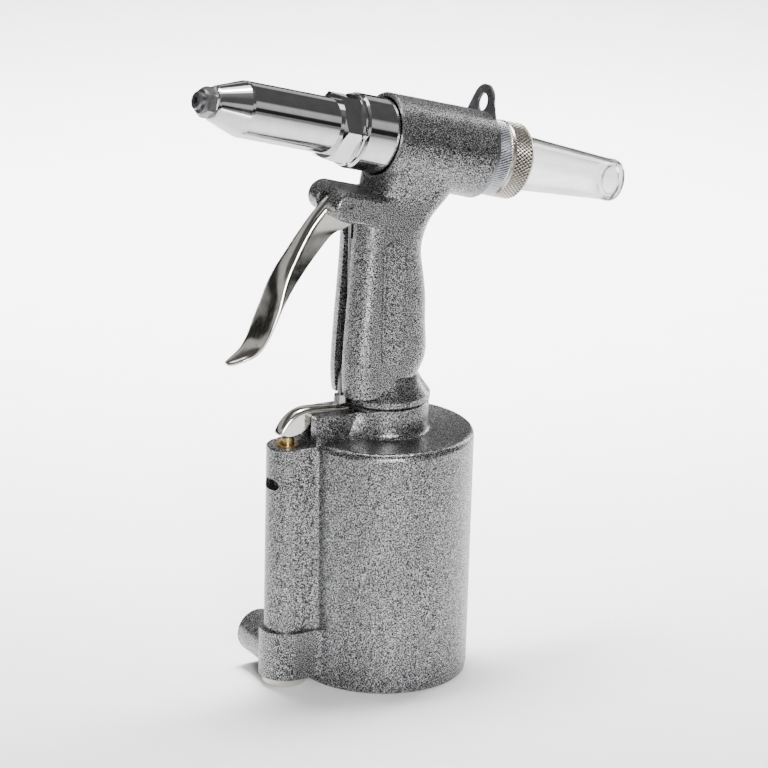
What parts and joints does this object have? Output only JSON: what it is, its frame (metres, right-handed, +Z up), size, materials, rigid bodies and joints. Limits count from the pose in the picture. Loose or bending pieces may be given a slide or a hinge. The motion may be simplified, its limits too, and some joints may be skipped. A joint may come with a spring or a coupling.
{
  "type": "hand riveter",
  "caption": "Air-hydraulic hand tool that sets blind rivets: trigger-worked air valve, vertical air cylinder, tilted hydraulic barrel, pulling jaws and a clear bottle for spent mandrels.",
  "frame": {"origin": "centre of the flat base of the air cylinder, on the floor the tool stands on", "axes": "+Z up the cylinder and the handle; the nose points to -X and up by 16.25 degrees; +Y is the side the air inlet faces; the plane y = 0 divides the tool"},
  "size_m": [0.2153, 0.08, 0.2815],
  "materials": {
    "hammertone": "silver hammertone enamel",
    "cast_aluminium": "satin, machined",
    "knurled_aluminium": "knurled",
    "knurled_nickel": "diamond knurled, nickel plated",
    "nickel": "nickel plated, bright",
    "chrome": "polished",
    "steel": "ground",
    "steel_dark": "oil blackened, worn",
    "spring_steel": "drawn wire",
    "brass": "turned",
    "seal": "matte",
    "screen": "sintered wire",
    "clear_plastic": "clear moulded plastic"
  },
  "bodies": {
    "base": {"frame": "hammertone", "oil_tube": "steel", "cylinder": "hammertone", "bottom_cap": "hammertone", "base_seal": "seal", "bumper": "seal", "ram_gland": "brass", "ram_seal": "seal", "valve_plug": "nickel", "valve_seat": "brass", "exhaust_screen": "screen", "valve_bush": "brass", "bush_seal": "seal", "inlet_bush": "steel", "lever_pin": "steel", "trigger_pin": "steel", "nosepiece": "steel_dark", "nose_housing": "chrome", "lock_nut": "chrome", "head_sleeve": "chrome", "rod_seal": "seal", "rear_cap": "knurled_aluminium", "tail_seal": "seal", "hanger": "steel_dark", "return_spring": "spring_steel", "valve_spring": "spring_steel"},
    "trigger": {"trigger": "nickel", "rod_pin": "steel"},
    "pull_rod": {"pull_rod": "steel_dark", "rod_nuts": "steel"},
    "valve_lever": {"valve_lever": "nickel"},
    "valve_stem": {"valve_stem": "brass", "valve_spool": "brass", "spool_seal": "seal"},
    "air_piston": {"air_piston": "cast_aluminium", "air_piston_seal": "seal", "ram": "steel", "piston_nut": "steel"},
    "drawbar": {"drawbar": "steel", "piston_seal": "seal", "jaw_case": "steel", "pusher_spring": "spring_steel"},
    "jaws": {"jaws": "steel_dark", "jaw_pusher": "steel"},
    "collector": {"collector_nut": "knurled_nickel", "collector_bottle": "clear_plastic", "collector_gasket": "seal"}
  },
  "joints": [
    {"name": "trigger_pivot", "type": "hinge", "parent": "base", "child": "trigger", "pos_m": [-0.0271, 0, 0.2235], "axis": [0, -1, 0], "range_deg": [0, 15], "stiffness_Nm_per_rad": 1, "springref_deg": -17.19},
    {"name": "pull_rod_slide", "type": "slide", "parent": "base", "child": "pull_rod", "axis": [0, 0, 1], "range_m": [0, 0.002]},
    {"name": "valve_lever_pivot", "type": "hinge", "parent": "base", "child": "valve_lever", "pos_m": [-0.033, 0, 0.1199], "axis": [0, -1, 0], "range_deg": [0, 11.8]},
    {"name": "valve_stem_slide", "type": "slide", "parent": "base", "child": "valve_stem", "axis": [0, 0, -1], "range_m": [0, 0.0035], "deforming": ["valve_spring"]},
    {"name": "air_piston_slide", "type": "slide", "parent": "base", "child": "air_piston", "axis": [0, 0, 1], "range_m": [0, 0.062], "stiffness_N_per_m": 150, "springref_m": -0.06},
    {"name": "drawbar_slide", "type": "slide", "parent": "base", "child": "drawbar", "axis": [0.96, 0, -0.2798], "range_m": [0, 0.016], "deforming": ["return_spring"]},
    {"name": "jaw_slide", "type": "slide", "parent": "drawbar", "child": "jaws", "axis": [0.96, 0, -0.2798], "range_m": [0, 0.0015], "stiffness_N_per_m": 600, "springref_m": -0.003, "deforming": ["pusher_spring"]},
    {"name": "collector_turn", "type": "hinge", "parent": "base", "child": "collector", "pos_m": [0.0576, 0, 0.23091], "axis": [-0.96, 0, 0.2798], "continuous": true}
  ],
  "couplings": [
    {"joint": "pull_rod_slide", "follows": "trigger_pivot", "m_per_rad": 0.0076},
    {"joint": "valve_lever_pivot", "follows": "trigger_pivot", "ratio": 0.785},
    {"joint": "valve_stem_slide", "follows": "trigger_pivot", "m_per_rad": 0.01335},
    {"joint": "drawbar_slide", "follows": "air_piston_slide", "ratio": 0.258}
  ]
}
